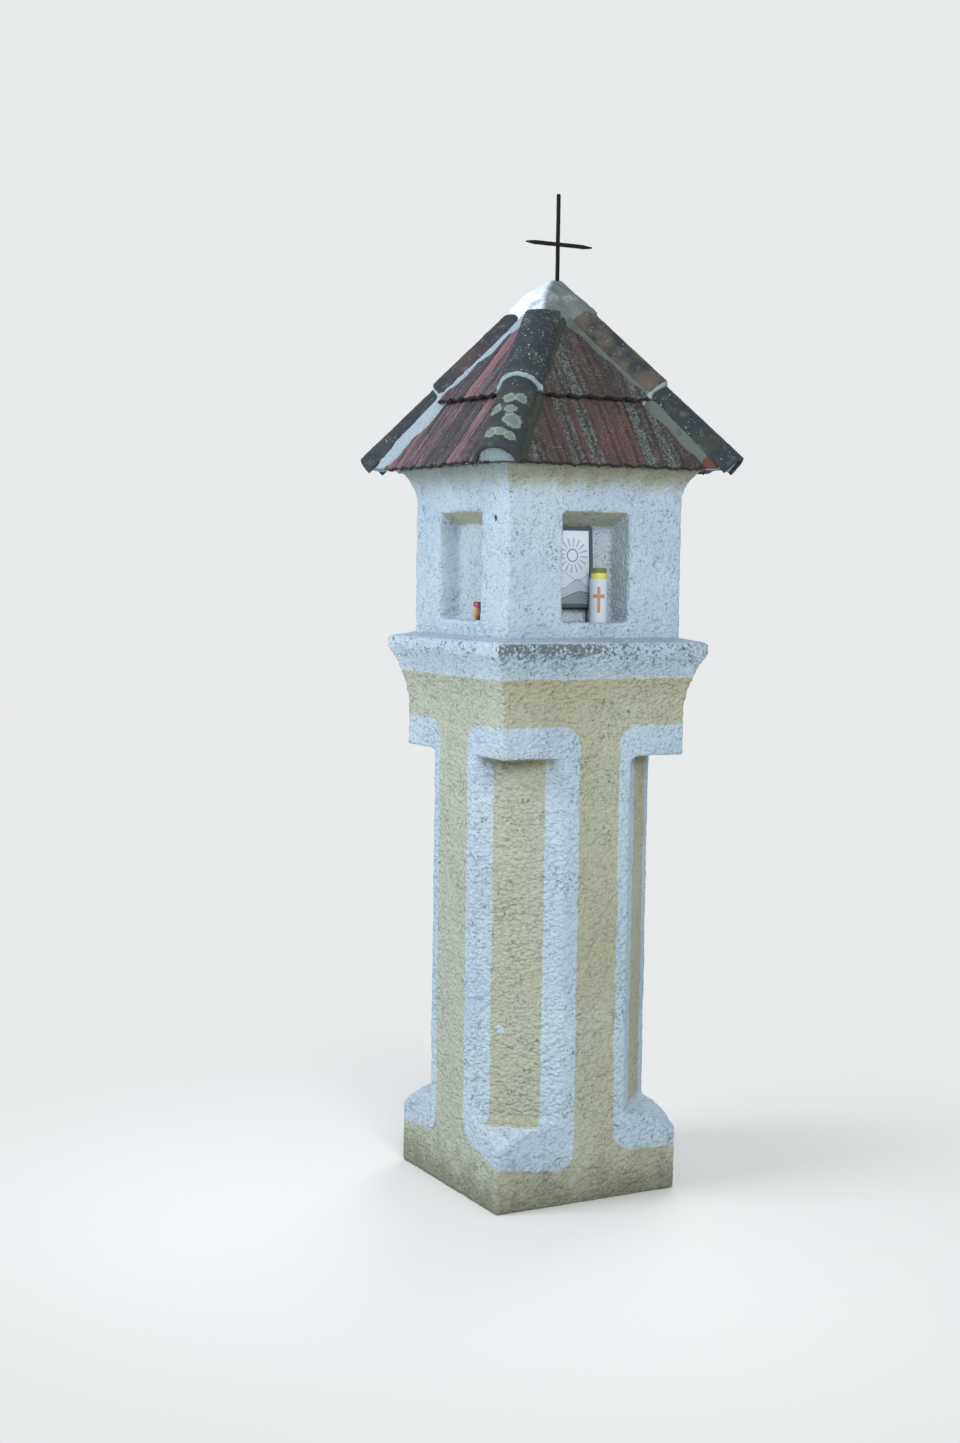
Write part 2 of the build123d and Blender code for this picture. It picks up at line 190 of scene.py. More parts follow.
def sign(operation, swapped=False):
    """What a sign does between values: it adds a node for a sum of one kind."""

    def work(*values):
        return values[0].graph.math(operation, *(reversed(values) if swapped else values))

    return work


class Value:
    """What a node gives, which can be reckoned with like a number."""

    def __init__(self, graph, socket):
        self.graph = graph
        self.socket = socket

    __add__ = sign("ADD")
    __sub__ = sign("SUBTRACT")
    __rsub__ = sign("SUBTRACT", swapped=True)
    __mul__ = sign("MULTIPLY")
    __truediv__ = sign("DIVIDE")
    __rtruediv__ = sign("DIVIDE", swapped=True)
    __gt__ = sign("GREATER_THAN")
    __lt__ = sign("LESS_THAN")
    __abs__ = sign("ABSOLUTE")


class Graph:
    """A node tree, with short ways to add nodes."""

    def __init__(self, tree):
        self.nodes = tree.nodes
        self.links = tree.links

    def feed(self, socket, value):
        """Links a socket to a value, or sets its own."""
        if isinstance(value, Value):
            self.links.new(value.socket, socket)
        elif isinstance(value, tuple) and socket.type == "RGBA":
            socket.default_value = (*value, 1)
        else:
            socket.default_value = value

    def add(self, kind, inputs=None, **settings):
        """A new node with its settings and inputs."""
        node = self.nodes.new(kind)
        for key, value in settings.items():
            setattr(node, key, value)
        for key, value in (inputs or {}).items():
            self.feed(node.inputs[key], value)
        return node

    def out(self, kind, inputs=None, output=0, **settings):
        """What a new node gives."""
        return Value(self, self.add(kind, inputs, **settings).outputs[output])

    def math(self, operation, *values):
        return self.out("ShaderNodeMath", dict(enumerate(values)), operation=operation)

    def highest(self, first, second):
        return self.math("MAXIMUM", first, second)

    def root(self, value):
        return self.math("SQRT", value)

    def vector(self, *values):
        return self.out("ShaderNodeCombineXYZ", dict(enumerate(values)))

    def vector_math(self, operation, inputs, output=0):
        return self.out("ShaderNodeVectorMath", inputs, output, operation=operation)

    def noise(self, size, detail=2.0, seed=0.0, place=None, harsh=0.5, twist=0.0, output=0):
        """Cloudy noise from 0 to 1, with clumps of about a size in metres."""
        inputs = {
            "Vector": place or self.place,
            "W": seed,
            "Scale": 1 / size,
            "Detail": detail,
            "Roughness": harsh,
            "Distortion": twist,
        }
        return self.out("ShaderNodeTexNoise", inputs, output, noise_dimensions="4D")

    def folded(self, cloud):
        """Noise made into rounded lumps: 1 on the lumps, 0 in the sharp creases between."""
        return self.math("MINIMUM", abs(cloud * 4.4 - 2.2), 1.0)


class Finish(Graph):
    """A material, with short ways to add what its surface needs."""

    def __init__(self, name, roughness=0.9):
        self.material = bpy.data.materials.new(name)
        self.material.use_nodes = True
        super().__init__(self.material.node_tree)
        self.surface = self.nodes["Principled BSDF"]
        self.surface.inputs["Roughness"].default_value = roughness
        self.surface.inputs["Specular IOR Level"].default_value = 0.25
        self.place = self.out("ShaderNodeTexCoord", output="Object")
        self.x, self.y, self.z = self.parts(self.place)

    def parts(self, vector):
        """The three numbers of a vector."""
        node = self.add("ShaderNodeSeparateXYZ", {0: vector})
        return [Value(self, socket) for socket in node.outputs]

    def facing(self):
        """The three parts of the surface's outward direction."""
        return self.parts(self.out("ShaderNodeNewGeometry", output="Normal"))

    def attribute(self, name):
        return self.out("ShaderNodeAttribute", output="Fac", attribute_name=name)

    def rise(self, value, low, high):
        """0 below low, 1 above high, and smooth between; low may be the larger one."""
        inputs = {"Value": value, "From Min": low, "From Max": high}
        return self.out("ShaderNodeMapRange", inputs, interpolation_type="SMOOTHSTEP")

    def over(self, value, limit, soft=paint_edge):
        """1 above a limit, with a soft edge."""
        return self.rise(value, limit - soft, limit + soft)

    def under(self, value, limit, soft=paint_edge):
        """1 below a limit, with a soft edge."""
        return self.rise(value, limit + soft, limit - soft)

    def between(self, value, low, high, soft):
        """1 between two limits, with soft ends."""
        return self.over(value, low, soft) * self.under(value, high, soft)

    def choose(self, share, first, second):
        """The first value where a share is 1, the second where it is 0."""
        return self.out("ShaderNodeMix", {"Factor": share, "A": second, "B": first})

    def mix(self, share, first, second, blend="MIX"):
        """A colour between two, by a share from 0 to 1."""
        inputs = {0: share, 6: first, 7: second}
        return self.out("ShaderNodeMix", inputs, 2, data_type="RGBA", blend_type=blend)

    def coat(self, share, colour, blend="MIX"):
        """Lays a colour over what the surface has so far, by a share from 0 to 1."""
        self.base = self.mix(share, self.base, colour, blend)

    def warped(self, size, reach, seed, flat=1.0):
        """The place, pushed about by noise; what is laid over it comes out flatter by a share."""
        push = self.noise(size, seed=seed, output=1)
        flattened = self.vector(self.x, self.y, self.z * flat)
        return self.vector_math("MULTIPLY_ADD", {0: push, 1: (reach, reach, reach), 2: flattened})

    def cells(self, size, seed, place):
        """Distance to the nearest of many scattered points, in cells of a size."""
        away = self.vector_math("ADD", {0: place, 1: (seed, seed, seed)})
        inputs = {"Vector": away, "Scale": 1 / size}
        return self.out("ShaderNodeTexVoronoi", inputs, "Distance", voronoi_dimensions="3D")

    def spot(self, place, radius, ragged):
        """1 within a radius of a place."""
        distance = self.vector_math("DISTANCE", {0: self.place, 1: place}, "Value")
        return self.rise(distance + ragged, radius * 1.1, radius * 0.85)

    def up_hip(self, corner):
        """How far up a hip a point lies."""
        row = hip_matrix(corner).inverted()[1]
        return self.vector_math("DOT_PRODUCT", {0: self.place, 1: tuple(row[:3])}, "Value") + row[3]

    def done(self, height=None, depth=0.0):
        """The material, with its coats and a small relief that has a depth in metres."""
        self.feed(self.surface.inputs["Base Color"], self.base)
        if height:
            inputs = {"Distance": depth, "Strength": 1.0, "Height": height}
            self.feed(self.surface.inputs["Normal"], self.out("ShaderNodeBump", inputs))
        return self.material


class Tree(Graph):
    """A geometry node tree with named inputs, made to be put on objects."""

    def __init__(self, name):
        self.group = bpy.data.node_groups.new(name, "GeometryNodeTree")
        super().__init__(self.group)
        for way in ("INPUT", "OUTPUT"):
            self.group.interface.new_socket("Geometry", in_out=way, socket_type="NodeSocketGeometry")
        self.start = self.nodes.new("NodeGroupInput")
        self.place = self.out("GeometryNodeInputPosition")

    def inputs(self, **usual):
        """Adds named inputs, each with its usual value or its kind, and returns what they give."""
        given = []
        for key, value in usual.items():
            name = key.replace("_", " ").title()
            kind = value if isinstance(value, str) else type(value).__name__.title()
            socket_type = "NodeSocket" + kind
            socket = self.group.interface.new_socket(name, in_out="INPUT", socket_type=socket_type)
            if kind != value:
                socket.default_value = value
            given.append(Value(self, self.start.outputs[name]))
        return given

    def moved(self, offset):
        """The object's own shape, with its points moved."""
        shape = Value(self, self.start.outputs["Geometry"])
        return self.out("GeometryNodeSetPosition", {"Geometry": shape, "Offset": offset})

    def scattered(self, low, high, seed):
        """A vector picked anew for each point."""
        inputs = {"Min": low, "Max": high, "Seed": seed}
        return self.out("FunctionNodeRandomValue", inputs, data_type="FLOAT_VECTOR")

    def end(self, shape, material):
        """Makes the shape real, gives it its material, hands it out and returns the tree."""
        solid = self.out("GeometryNodeRealizeInstances", {"Geometry": shape})
        painted = self.out("GeometryNodeSetMaterial", {"Geometry": solid, "Material": material})
        self.add("NodeGroupOutput", {0: painted})
        return self

    def use(self, piece, **values):
        """Puts the tree on an object, with its inputs set."""
        modifier = piece.modifiers.new(self.group.name, "NODES")
        modifier.node_group = self.group
        for item in self.group.interface.items_tree:
            key = item.name.lower().replace(" ", "_")
            if item.in_out == "INPUT" and key in values:
                modifier[item.identifier] = values[key]


# Finishes


def painted_coat(f):
    """White and ochre limewash: a band round each chamfer, and all white above."""
    ragged = f.noise(0.045, detail=3, seed=3.1) * 0.018 - 0.009
    off_x, off_y = abs(f.x), abs(f.y)
    away = abs(off_x - off_y) + ragged
    height = f.z + ragged
    at_end = off_y > off_x
    uneven = (f.x < 0.0) * (f.y < 0.0)
    reach = f.choose(uneven, f.choose(at_end, wide_band, narrow_band), band_reach)
    panel_edge = f.choose(uneven, f.choose(at_end, wide_panel, narrow_panel), panel_reach)
    slant = f.choose(uneven, f.choose(at_end, front_slant, left_slant), foot_slant)

    over_side = f.highest(away - reach + band_round, 0.0)
    over_head = f.highest(height - (band_head - band_round), 0.0)
    over_foot = f.highest(band_foot + band_round - (height + away * slant), 0.0)
    over_end = over_head + over_foot
    band = f.under(f.root(over_side * over_side + over_end * over_end), band_round)
    above_stop = height - f.choose(uneven, panel_foot, high_panel_foot)
    panel = f.under(away - panel_edge, 0.0) * f.over(above_stop, 0.0) * f.under(height, panel_head)
    white = f.highest(band * (1.0 - panel), f.over(height, cornice_foot))

    cloud = f.noise(0.3, detail=3, seed=1.7)
    across, along = f.facing()[:2]
    ochre = f.mix(f.rise(cloud, 0.35, 0.65), ochre_wash, ochre_pale)
    # Painted light: the ochre on faces turned to the left is paler and cooler
    ochre = f.mix(f.rise(across, -0.5, -0.9) * 0.8, ochre, tint(176, 183, 172))
    # Painted shade: the ochre on the front, just under the cornice, is darker and yellower
    capital_front_shade = f.rise(f.z, cornice_foot - 0.10, cornice_foot) * f.rise(along, -0.3, -0.8)
    ochre = f.mix(capital_front_shade * 0.35, ochre, tint(168, 160, 122))
    lime = f.mix(f.rise(cloud, 0.3, 0.7), lime_cool, lime_white)
    f.base = f.mix(white, ochre, lime)


def stained_coat(f):
    """Cream under the roof, painted shade under the stops and on downward faces of the head, algae on the
    cornice, duller niches and ledge.
    """
    along, up = f.facing()[1:]
    front = f.rise(along, -0.5, -0.9)
    depth = f.highest(abs(f.x), abs(f.y))

    # A cream band under the roof, stronger on the front
    streak = f.noise(0.05, detail=3, seed=5.2, place=f.vector(f.x, f.y, f.z * 0.35))
    eaves_band = f.rise(streak * 0.11 + f.z, eaves - 0.06, eaves + 0.045) * (front * 0.4 + 0.55)
    f.coat(eaves_band, eaves_cream)
    # Painted shade on faces turned down inside the head, such as the niches' ceilings
    soffit_shade = f.rise(up, -0.45, -0.8) * f.between(f.z, niche_floor + 0.1, eaves - 0.08, 0.02)
    f.coat(soffit_shade * 0.8, tint(172, 170, 136))
    # Painted shade under the head stops, on the chamfers
    stop_shade = f.between(f.z, panel_head - 0.035, panel_head + 0.01, 0.02) * f.rise(up, 0.3, -0.1)
    stop_shade = stop_shade * f.rise(depth, shaft_half - 0.01, shaft_half - 0.03)
    f.coat(stop_shade * 0.55, tint(128, 122, 78))
    inside = f.rise(depth, head_half - 0.01, head_half - 0.04)
    inside = inside * f.rise(f.z, niche_floor - 0.004, niche_floor + 0.01)
    f.coat(inside * 0.25, tint(178, 186, 178))

    f.coat(algae_share(f, front, up) * 0.82, algae_dark)
    cornice = front * f.between(f.z, cornice_foot, head_foot - 0.01, 0.004)
    f.coat(cornice * 0.15, tint(140, 154, 152))
    ledge = f.rise(up, 0.75, 0.95) * f.rise(f.z, cornice_foot, head_foot - 0.03)
    ledge = ledge * f.rise(f.z, niche_floor - 0.01, niche_floor - 0.02)
    f.coat(ledge * 0.5, tint(142, 158, 178))


def algae_share(f, front, up):
    """Algae on the cornice's nose, thickest on the left of the front."""
    grit = f.noise(0.012, detail=3, seed=8.4, harsh=0.7)
    patch = f.noise(0.06, detail=4, seed=8.9, harsh=0.6)
    crevice = f.cells(0.012, 8.1, f.warped(0.02, 0.02, 8.3))
    worst = front * f.rise(f.x, 0.16, -0.20) * f.rise(f.z, cornice_foot + 0.05, cornice_foot + 0.10)
    amount = worst * 0.12 + front * 0.05 + patch * 0.42 + grit * 0.8 + (crevice * 0.34 - 0.08)
    nose = f.rise(f.z, cornice_foot - 0.02, cornice_foot + 0.10)
    nose = nose * f.rise(f.z, head_foot - 0.002, head_foot - 0.014) * f.rise(up, 0.85, 0.55)
    return f.rise(amount, 0.74, 0.90) * nose


def rough_cast_finish():
    """Limewashed rough-cast, with painted shade and dirt in its creases, and soil on its foot."""
    f = Finish("rough_cast", roughness=0.93)
    painted_coat(f)
    stained_coat(f)
    across, along = f.facing()[:2]
    above = f.over(f.z, cornice_foot, 0.005)

    # Lumps, with painted shade and dirt in the creases between them
    coarse = f.cells(0.017, 2.2, f.warped(0.02, 0.022, 2.5, 1.35))
    fine = f.cells(0.012, 2.9, f.warped(0.02, 0.020, 2.7, 1.2))
    cells = f.choose(above, fine, coarse)
    cloud = f.noise(0.022, detail=5, seed=3.6, harsh=0.68)
    crease_shade = f.rise(cells, 0.50, 0.70) * f.rise(cloud, 0.58, 0.42)
    f.coat(crease_shade * (0.23 - above * 0.04), crease_shade_tone, "MULTIPLY")

    # Dark specks where the render is open
    lines = f.rise(f.folded(f.noise(0.048, detail=3, seed=7.7, twist=0.8)), 0.12, 0.02)
    lines = lines * f.rise(f.noise(0.011, detail=3, seed=12.2, harsh=0.65), 0.50, 0.60)
    dots = f.rise(f.noise(0.0085, detail=2, seed=13.1, harsh=0.6), 0.63, 0.69)
    dense = f.noise(0.11, detail=3, seed=6.6) + (above + f.rise(across, -0.3, -0.8)) * 0.04
    pits = f.highest(lines, dots) * f.rise(dense, 0.42, 0.62)
    f.coat(pits * 0.66, tint(80, 92, 94))

    # The front left chamfer gets a little painted shade, and the foot is splashed with soil
    chamfer = f.rise(across + along, -1.15, -1.35)
    f.coat(chamfer * 0.11, tint(100, 106, 104))
    ragged = f.noise(0.012, detail=3, seed=3.9) * 0.02 - 0.01
    f.coat(f.spot(chip_place, 0.010, ragged), tint(48, 52, 56))
    f.coat(f.spot(splash_place, 0.014, ragged), tint(168, 192, 212))
    splash = f.noise(0.07, detail=5, seed=9.9, harsh=0.65) * 0.30 - 0.06
    soil = f.rise(splash - f.z, -0.10, 0.10)
    f.coat(soil * 0.75, tint(104, 106, 88))

    lump = (1.0 - cells) * (0.62 - above * 0.30)
    return f.done(lump + cloud * 0.85 - pits * 0.15, 0.016)


def roof_tile_finish(name, clay_low, clay_high, crust_share, groove_share, seed):
    """Fired clay with painted shade and dark grime in the grooves, bands of grey lichen and a lower edge
    darkened by painted shade and dirt.
    """
    f = Finish(name, roughness=0.88)
    laid = f.vector(f.attribute("across"), f.attribute("up_slope") * 0.10, seed)
    drift = f.noise(0.10, detail=3, seed=seed)
    streak = f.noise(0.012, detail=5, seed=seed, place=laid, harsh=0.65)
    share = f.attribute("rib") * 0.28 + streak * 1.10 + (f.attribute("tone") + drift) * 0.18
    f.base = f.mix(f.rise(share, 0.68, 1.10), clay_low, clay_high)

    crust = f.noise(0.07, detail=4, seed=seed + 1, harsh=0.6)
    crust = f.attribute("band") + crust * 0.45 + streak * 0.35
    crust = f.rise(crust, 1.02 - crust_share, 1.20 - crust_share)
    grain = f.noise(0.0095, detail=3, seed=seed + 2, harsh=0.75)
    dull = f.mix(f.rise(grain, 0.44, 0.58), tint(54, 58, 56), tint(104, 114, 113))
    f.coat(crust * 0.70 + 0.14, dull)
    # Painted shade and grime in the grooves, and blotches of grime
    soot = f.attribute("groove") * groove_share + f.noise(0.05, detail=5, seed=seed + 3, harsh=0.6)
    f.coat(f.rise(soot, 0.62, 0.98) * 0.8, groove_shade_and_grime)

    speck = f.rise(f.noise(0.0075, seed=seed + 4), 0.60, 0.68) * f.rise(drift, 0.35, 0.6)
    f.coat(speck * 0.35, lichen_pale)
    gold = f.rise(f.noise(0.010, seed=5.5), 0.60, 0.68) * f.rise(f.noise(0.08, seed=5.9), 0.56, 0.66)
    f.coat(gold * 0.7, lichen_gold)
    # Painted shade and dirt on each tile's lower edge
    f.coat(f.attribute("edge") * 0.9, tint(44, 40, 36))
    return f.done(f.noise(0.005, detail=4, seed=seed + 5) + grain, 0.0014)


def hip_tile_finish(name, clay, soot_share, speck_share, seed, rosettes=()):
    """An old half-round tile: clay under soot, small pale specks and round crusts of lichen."""
    f = Finish(name, roughness=0.9)
    cloud = f.noise(0.13, detail=5, seed=seed, harsh=0.6)
    soot = f.mix(f.noise(0.02, detail=3, seed=seed + 5), tint(34, 39, 45), tint(58, 65, 72))
    f.base = f.mix(f.under(cloud, soot_share, 0.10), clay, soot)
    speck = f.noise(0.0085, seed=seed + 1) + f.noise(0.07, detail=3, seed=seed + 2) * 0.35
    f.coat(f.rise(speck, 0.84 - speck_share, 0.90 - speck_share) * 0.6, lichen_pale)
    mould = f.rise(f.noise(0.035, detail=4, seed=seed + 4, harsh=0.65), 0.52, 0.68)
    f.coat(mould * 0.45, tint(98, 104, 94))
    ragged = f.noise(0.018, detail=4, seed=seed + 6, harsh=0.6) * 0.034 - 0.017
    for place, radius in rosettes:
        f.coat(f.spot(place, radius, ragged) * 0.85, tint(132, 146, 140))
        f.coat(f.spot(place, radius * 0.72, ragged) * 0.75, tint(96, 110, 108))
    return f.done(f.noise(0.006, detail=4, seed=seed + 3), 0.0022)


def mortar_finish(name, pale, dark, dirt, seed, corner=None, joint=0.0):
    """Weathered mortar, darker in patches; on a hip it is paler at the mouth and the joint."""
    f = Finish(name, roughness=0.93)
    patch = f.noise(0.07, detail=5, seed=seed, harsh=0.62)
    f.base = f.mix(f.rise(patch, 0.56 - dirt, 0.78 - dirt), pale, dark)
    if corner:
        place = f.up_hip(corner)
        fresh = f.between(place, joint - 0.016, joint + 0.001, 0.002)
        fresh = f.highest(f.rise(place, 0.012, 0.0), fresh)
        f.coat(fresh * 0.8, tint(150, 168, 176))
    if name == "cap_mortar":
        # Painted shade makes its front and right sides grey
        shade = f.rise(f.y - f.x, 0.010, -0.030) * f.rise(patch, 0.05, 0.5)
        f.coat(shade * 0.9, tint(80, 88, 82))
    specks = f.rise(f.noise(0.008, detail=3, seed=seed + 1), 0.58, 0.68)
    f.coat(specks * 0.45, tint(84, 90, 88))
    if corner == "front_right":
        # A piece of brick shows at its foot
        brick = on_hip(corner, 0.026, -100, 0.080)
        f.coat(f.spot(brick, 0.030, patch * 0.03 - 0.015), tint(92, 66, 58))
    folds = f.folded(f.noise(0.020, detail=1, seed=seed + 2, twist=0.4))
    return f.done(folds + f.noise(0.005, detail=3, seed=seed + 3), 0.0022)


def plain_finish(name, colour, roughness, metallic=0.0, grain=0.01, change=0.12, relief=0.0003):
    """Paint, metal or plastic with slight changes of tone and a fine grain."""
    f = Finish(name, roughness=roughness)
    f.surface.inputs["Metallic"].default_value = metallic
    darker = tuple(c * (1 - change * 2) for c in colour)
    f.base = f.mix(f.noise(grain, detail=3, seed=1.3), darker, colour)
    return f.done(f.noise(grain / 4, seed=2.3), relief)


# Making pieces


def object_from(name, mesh):
    piece = bpy.data.objects.new(name, mesh)
    bpy.context.collection.objects.link(piece)
    return piece


def mesh_from(body, name):
    """Turns a bmesh into a mesh, and drops it."""
    mesh = bpy.data.meshes.new(name)
    body.to_mesh(mesh)
    body.free()
    return mesh


def strip(first, second):
    """Four-sided faces between two rows of vertices."""
    return [(a, b, d, c) for a, b, c, d in zip(first, first[1:], second, second[1:])]


def lofted(rings):
    """A closed mesh through rings that have as many points each, capped at both ends."""
    size = len(rings[0])
    faces = []
    for k in range(len(rings) - 1):
        ring = [*range(k * size, (k + 1) * size), k * size]
        faces += strip(ring, [v + size for v in ring])
    last = (len(rings) - 1) * size
    faces += [tuple(reversed(range(size))), tuple(range(last, last + size))]
    mesh = bpy.data.meshes.new("loft")
    mesh.from_pydata([point for ring in rings for point in ring], [], faces)
    return mesh


def square_block(levels, centre=0.0):
    """A block with a square of some half width at each level."""
    signs = ((-1, -1), (1, -1), (1, 1), (-1, 1))
    rings = [[(centre + x * half, y * half, level) for x, y in signs] for level, half in levels]
    return lofted(rings)


def joined_copy(name, nodes):
    """One object with the closed meshes of some CAD nodes."""
    body = bmesh.new()
    for node in nodes:
        part = bmesh.new()
        part.from_mesh(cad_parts[node].data)
        bmesh.ops.remove_doubles(part, verts=part.verts, dist=1e-5)
        loose = mesh_from(part, "loose")
        body.from_mesh(loose)
        bpy.data.meshes.remove(loose)
    return object_from(name, mesh_from(body, name))


def add_mesh(piece, mesh):
    """Joins a closed mesh to an object's own, and drops it."""
    body = bmesh.new()
    body.from_mesh(piece.data)
    body.from_mesh(mesh)
    body.to_mesh(piece.data)
    body.free()
    bpy.data.meshes.remove(mesh)


def settle(piece):
    """Replaces an object's mesh by what its modifiers make of it."""
    bpy.context.view_layer.update()
    graph = bpy.context.evaluated_depsgraph_get()
    made = bpy.data.meshes.new_from_object(
        piece.evaluated_get(graph), preserve_all_data_layers=True, depsgraph=graph
    )
    piece.modifiers.clear()
    old = piece.data
    piece.data = made
    made.name = piece.name
    bpy.data.meshes.remove(old)


def remesh(piece, voxel, rounding=0):
    """Covers an object evenly with small faces, and rounds its edges off."""
    voxels = piece.modifiers.new("voxels", "REMESH")
    voxels.mode = "VOXEL"
    voxels.voxel_size = voxel
    if rounding:
        smooth = piece.modifiers.new("rounding", "SMOOTH")
        smooth.factor = 0.5
        smooth.iterations = rounding
    settle(piece)


def places(mesh):
    """The mesh's vertices as an array."""
    found = np.zeros(len(mesh.vertices) * 3, np.float32)
    mesh.vertices.foreach_get("co", found)
    return found.reshape(-1, 3)


def keep_in_box(piece):
    """Holds every vertex inside the CAD model's box."""
    inside = np.clip(places(piece.data), cad_low, cad_high)
    piece.data.vertices.foreach_set("co", inside.astype(np.float32).ravel())
    piece.data.update()


def point_values(piece, name, values):
    """Stores one number for each vertex."""
    layer = piece.data.attributes.new(name, "FLOAT", "POINT")
    layer.data.foreach_set("value", values.astype(np.float32))


def cut_away(body, point, normal):
    """Removes what lies beyond a plane, and returns the edges along the cut."""
    everything = body.verts[:] + body.edges[:] + body.faces[:]
    cut = bmesh.ops.bisect_plane(
        body, geom=everything, dist=1e-6, plane_co=point, plane_no=normal, clear_outer=True
    )
    return [e for e in cut["geom_cut"] if isinstance(e, bmesh.types.BMEdge)]


def finish_piece(piece, slot, *nodes):
    """Fixes a finished piece to the part, in place of its CAD nodes."""
    piece.data.polygons.foreach_set("use_smooth", [True] * len(piece.data.polygons))
    piece.data.set_sharp_from_angle(angle=radians(60))
    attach(piece, "root")
    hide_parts(*nodes)


# Render


def rough_cast_tree():
    """Thrown render: fine grit and broad knobs, over slow waves of the hand."""
    tree = Tree("rough_cast")
    grain, depth, broad_depth, wave, wave_reach, seed, material = tree.inputs(
        grain=cast_grain, depth=cast_depth, broad_depth=0.003,
        wave=wave_size, wave_depth=wave_depth, seed=1.0, material="Material",
    )
    smooth = tree.out("GeometryNodeInputNamedAttribute", {"Name": "trowelled"}, data_type="FLOAT")

    lumps = tree.noise(grain * 1.9, 3.0, seed) * 2.4 - 0.7
    grit = tree.folded(tree.noise(grain * 1.1, 1.0, seed + 5.0))
    knobs = tree.noise(grain * 4.0, seed=seed + 9.0)
    waves = tree.noise(wave, seed=seed)
    height = lumps * 0.65 + grit * 0.35
    push = (height - 0.5) * (depth * 2.0) + (knobs - 0.5) * (broad_depth * 2.0)
    push = push * ((1.0 - smooth) * 0.8 + 0.2) + (waves - 0.5) * (wave_reach * 2.0)
    normal = tree.out("GeometryNodeInputNormal")
    offset = tree.vector_math("SCALE", {0: normal, "Scale": push})
    return tree.end(tree.moved(offset), material)


def band_of(piece, name, low, high):
    """A closed slice of an object between two heights, or open-ended with None."""
    body = bmesh.new()
    body.from_mesh(piece.data)
    for level, normal in ((low, (0, 0, -1)), (high, (0, 0, 1))):
        if level is not None:
            rim = cut_away(body, (0, 0, level), normal)
            bmesh.ops.holes_fill(body, edges=rim, sides=0)
    mesh = mesh_from(body, name)
    mesh.materials.append(piece.data.materials[0])
    return object_from(name, mesh)


def trowelled_share(points):
    """How smooth the render is at each point: the ledge and the niches are trowelled."""
    x, y, z = np.abs(points[:, 0]), points[:, 1], points[:, 2]
    deep = np.maximum(x, np.abs(y))
    inside = np.clip((head_half - 0.008 - deep) / 0.02, 0, 1) * (z > niche_floor - 0.01)
    inside = inside * (z < niche_top + 0.02)
    front = inside * (y < 0) * (x < front_niche[1].x + 0.01)
    ledge = np.clip((z - (head_foot - 0.03)) / 0.01, 0, 1)
    ledge = ledge * (z < niche_floor - 0.01) * (deep > head_half + 0.004)
    return np.clip(front * 0.85 + (inside - front) * 0.55 + ledge * 0.8, 0, 1)


def cast_over(piece, cast, voxel, rounding, **values):
    """Covers an object with render."""
    remesh(piece, voxel, rounding)
    point_values(piece, "trowelled", trowelled_share(places(piece.data)))
    cast.use(piece, **values)
    settle(piece)
    keep_in_box(piece)


def masonry(cast, finish):
    """The rendered pillar and head, in slices."""
    pillar = joined_copy("pillar", ["plinth", "shaft", "capital", "cornice"])
    cast_over(
        pillar, cast, pillar_voxel, pillar_rounding, seed=1.0, broad_depth=pillar_knobs, material=finish
    )
    middle = (plinth_top + shaft_top) / 2
    slices = (
        ("plinth_render", None, plinth_top, "yellow_plaster", "plinth"),
        ("shaft_render_lower", plinth_top, middle, "yellow_plaster", "shaft"),
        ("shaft_render_upper", middle, shaft_top, "yellow_plaster", "shaft"),
        ("capital_render", shaft_top, cornice_foot, "yellow_plaster", "capital"),
        ("cornice_render", cornice_foot, None, "white_plaster", "cornice"),
    )
    for name, low, high, slot, node in slices:
        finish_piece(band_of(pillar, name, low, high), slot, node)
    bpy.data.objects.remove(pillar)

    nodes = [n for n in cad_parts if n.startswith(("head_", "corner_pier", "niche_back"))]
    head = joined_copy("head_render", nodes)
    add_mesh(head, square_block(((head_foot - head_sink, head_half), (head_foot + 0.004, head_half))))
    cast_over(
        head, cast, head_voxel, head_rounding,
        seed=2.0, depth=head_cast_depth, broad_depth=head_knobs, material=finish,
    )
    finish_piece(head, "white_plaster", *nodes)


# Roof


def turned_matrix(angle):
    return Matrix.Rotation(radians(angle), 4, "Z")


def frame_at(foot, across, along):
    """From a frame at a foot (across, along, and outwards from both) to the part's."""
    rows = Matrix((across, along, across.cross(along))).transposed().to_4x4()
    return Matrix.Translation(foot) @ rows


def slope_matrix():
    """From the front slope's own frame (across, up the slope, outwards) to the part's."""
    return frame_at((0, -roof_half, eaves), Vector((1, 0, 0)), Vector((0, slope_run, slope_rise)))


def rib_height(x):
    """Relief across a tile: broad shallow pans and narrow rolls."""
    phase = (x / rib_pitch) % 1.0
    pan = -pan_depth * np.sin(pi * np.clip(phase / pan_share, 0, 1))
    roll = np.clip((phase - pan_share) / (1 - pan_share), 0, 1)
    return np.where(phase < pan_share, pan, roll_height * np.sin(pi * roll) ** 0.8)


